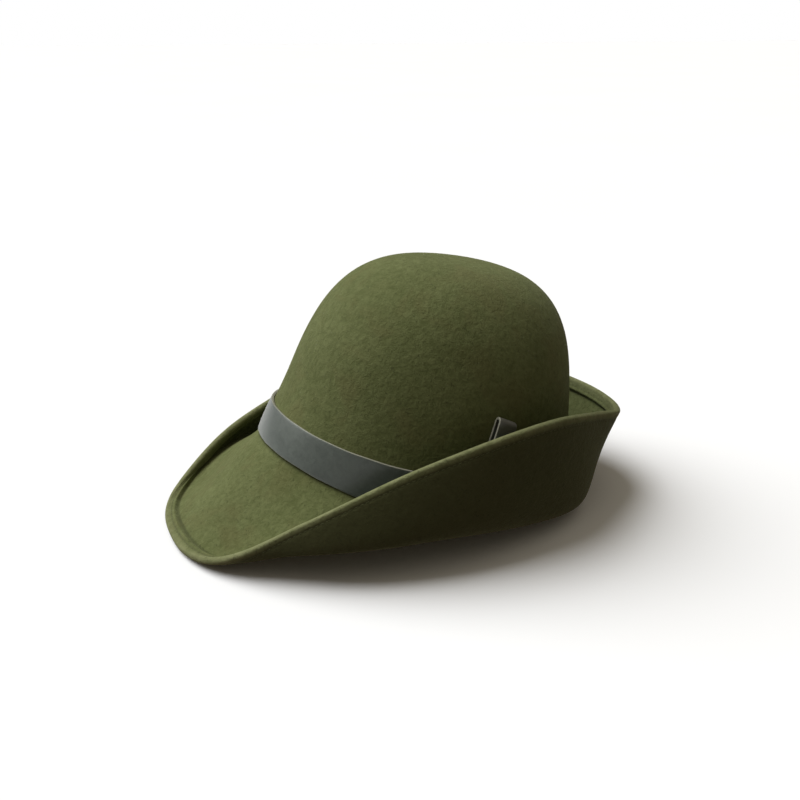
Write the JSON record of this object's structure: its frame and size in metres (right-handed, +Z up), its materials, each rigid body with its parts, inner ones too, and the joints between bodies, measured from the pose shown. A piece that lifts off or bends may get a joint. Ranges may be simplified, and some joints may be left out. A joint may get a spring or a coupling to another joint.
{
  "type": "alpine felt hat",
  "caption": "Green felt hat with a round crown, a brim turned up at the sides and back, a dark leather band and a leather loop for a plume.",
  "frame": {"origin": "on the table, under the middle of the hat's outline", "axes": "-Y is the front of the hat, +X the wearer's left, where the plume loop is, and +Z up from the table"},
  "size_m": [0.2088, 0.2932, 0.1524],
  "materials": {
    "felt": "short-napped wool felt, dark olive green, matt",
    "leather": "smooth slate-grey to black leather, semi-gloss, with pale cut edges"
  },
  "bodies": {
    "root": {"felt_body": "felt", "leather_band": "leather", "plume_loop": "leather"}
  },
  "joints": []
}
